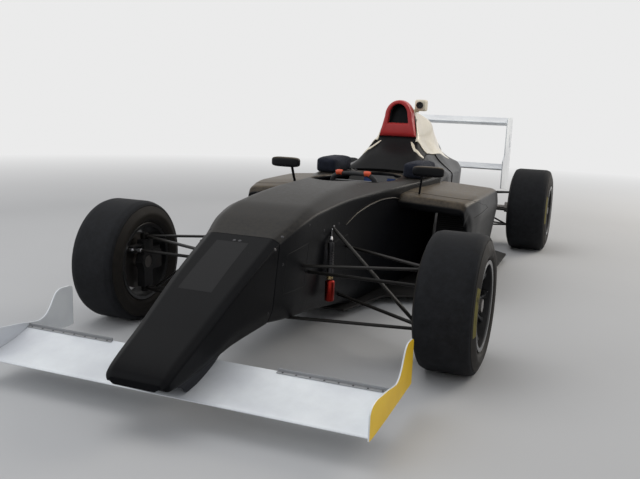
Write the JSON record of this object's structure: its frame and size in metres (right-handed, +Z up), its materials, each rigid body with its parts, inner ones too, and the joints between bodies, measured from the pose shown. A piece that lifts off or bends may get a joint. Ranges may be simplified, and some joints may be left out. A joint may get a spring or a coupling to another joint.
{
  "type": "open wheel racing car",
  "caption": "Single-seat open wheel racing car with wedge nose, front and rear wings, hollow cockpit, slick tyres and linked steering.",
  "frame": {"origin": "on the ground under the middle of the car's length and width", "axes": "+X to the car's left, +Y to the rear, +Z up; the nose points to -Y"},
  "size_m": [1.744, 4.36, 1.034],
  "materials": {
    "tub_black": "satin black composite with dust",
    "nose_black": "satin black painted composite",
    "wing_white": "white gloss paint on composite",
    "endplate_white": "white gloss paint, left outer face yellow",
    "carbon": "bare woven composite",
    "aluminium": "bare aluminium",
    "seat_black": "moulded composite shell",
    "pad_navy": "navy black covered foam",
    "cover_white": "warm white paint, gloss black at the rear",
    "airbox_red": "red gloss paint",
    "camera_cream": "cream plastic with a black lens",
    "sidepod_black": "satin black painted composite",
    "radiator": "finned aluminium core",
    "floor_black": "matt black composite",
    "cast_metal": "cast and painted metal",
    "exhaust_steel": "heat tinted steel",
    "light_red": "red lens",
    "arm_black": "black coated steel tube",
    "damper_red": "dark red anodised and black",
    "upright_metal": "machined aluminium",
    "steel": "plain steel",
    "wheel_grip": "black grips with orange thumb pads",
    "rim_black": "black painted with bright lips",
    "tyre_rubber": "worn slick rubber",
    "disc_iron": "machined iron disc on a black bell"
  },
  "bodies": {
    "chassis": {"monocoque": "tub_black", "nose_cone": "nose_black", "front_wing": "wing_white", "front_wing_endplates": "endplate_white", "front_wing_pylons": "carbon", "front_wing_gurneys": "aluminium", "dashboard": "carbon", "seat": "seat_black", "headrest_pads": "pad_navy", "rear_bulkhead": "carbon", "mirrors": "carbon", "rack_housing": "aluminium", "engine_cover": "cover_white", "airbox": "airbox_red", "onboard_camera": "camera_cream", "sidepod_left": "sidepod_black", "sidepod_right": "sidepod_black", "radiators": "radiator", "floor": "floor_black", "diffuser": "floor_black", "engine": "cast_metal", "gearbox": "cast_metal", "exhaust": "exhaust_steel", "crash_box": "carbon", "rain_light": "light_red", "rear_wing_planes": "wing_white", "rear_wing_endplates": "endplate_white", "rear_wing_pylons": "carbon", "front_wishbones": "arm_black", "front_pushrods": "arm_black", "front_dampers": "damper_red", "rear_wishbones": "arm_black", "rear_pushrods": "arm_black", "rear_uprights": "upright_metal"},
    "knuckle_left": {"front_upright_left": "upright_metal"},
    "wheel_front_left_body": {"wheel_front_left": "rim_black", "tyre_front_left": "tyre_rubber", "hub_disc_front_left": "disc_iron"},
    "wheel_rear_left_body": {"wheel_rear_left": "rim_black", "tyre_rear_left": "tyre_rubber", "hub_disc_rear_left": "disc_iron"},
    "knuckle_right": {"front_upright_right": "upright_metal"},
    "wheel_front_right_body": {"wheel_front_right": "rim_black", "tyre_front_right": "tyre_rubber", "hub_disc_front_right": "disc_iron"},
    "wheel_rear_right_body": {"wheel_rear_right": "rim_black", "tyre_rear_right": "tyre_rubber", "hub_disc_rear_right": "disc_iron"},
    "rack_body": {"steering_rack": "steel"},
    "steering_wheel_body": {"steering_column": "steel", "steering_wheel": "wheel_grip"}
  },
  "joints": [
    {"name": "steer_left", "type": "hinge", "parent": "chassis", "child": "knuckle_left", "pos_m": [0.66, -1.18, 0.265], "axis": [0, 0, 1], "range_deg": [-18, 18]},
    {"name": "steer_right", "type": "hinge", "parent": "chassis", "child": "knuckle_right", "pos_m": [-0.66, -1.18, 0.265], "axis": [0, 0, 1], "range_deg": [-18, 18]},
    {"name": "rack_slide", "type": "slide", "parent": "chassis", "child": "rack_body", "axis": [1, 0, 0], "range_m": [-0.0284, 0.0284]},
    {"name": "steering_wheel_turn", "type": "hinge", "parent": "chassis", "child": "steering_wheel_body", "pos_m": [0, -0.28, 0.565], "axis": [0, 0.9744, 0.2247], "range_deg": [-144.5, 144.5]},
    {"name": "wheel_front_left_spin", "type": "hinge", "parent": "knuckle_left", "child": "wheel_front_left_body", "pos_m": [0.75, -1.18, 0.27], "axis": [1, 0, 0], "continuous": true},
    {"name": "wheel_rear_left_spin", "type": "hinge", "parent": "chassis", "child": "wheel_rear_left_body", "pos_m": [0.7285, 1.57, 0.2875], "axis": [1, 0, 0], "continuous": true},
    {"name": "wheel_front_right_spin", "type": "hinge", "parent": "knuckle_right", "child": "wheel_front_right_body", "pos_m": [-0.75, -1.18, 0.27], "axis": [1, 0, 0], "continuous": true},
    {"name": "wheel_rear_right_spin", "type": "hinge", "parent": "chassis", "child": "wheel_rear_right_body", "pos_m": [-0.7285, 1.57, 0.2875], "axis": [1, 0, 0], "continuous": true}
  ],
  "couplings": [
    {"joint": "steer_right", "follows": "steer_left", "ratio": 1},
    {"joint": "rack_slide", "follows": "steer_left", "m_per_rad": 0.09},
    {"joint": "steering_wheel_turn", "follows": "steer_left", "ratio": 8}
  ]
}
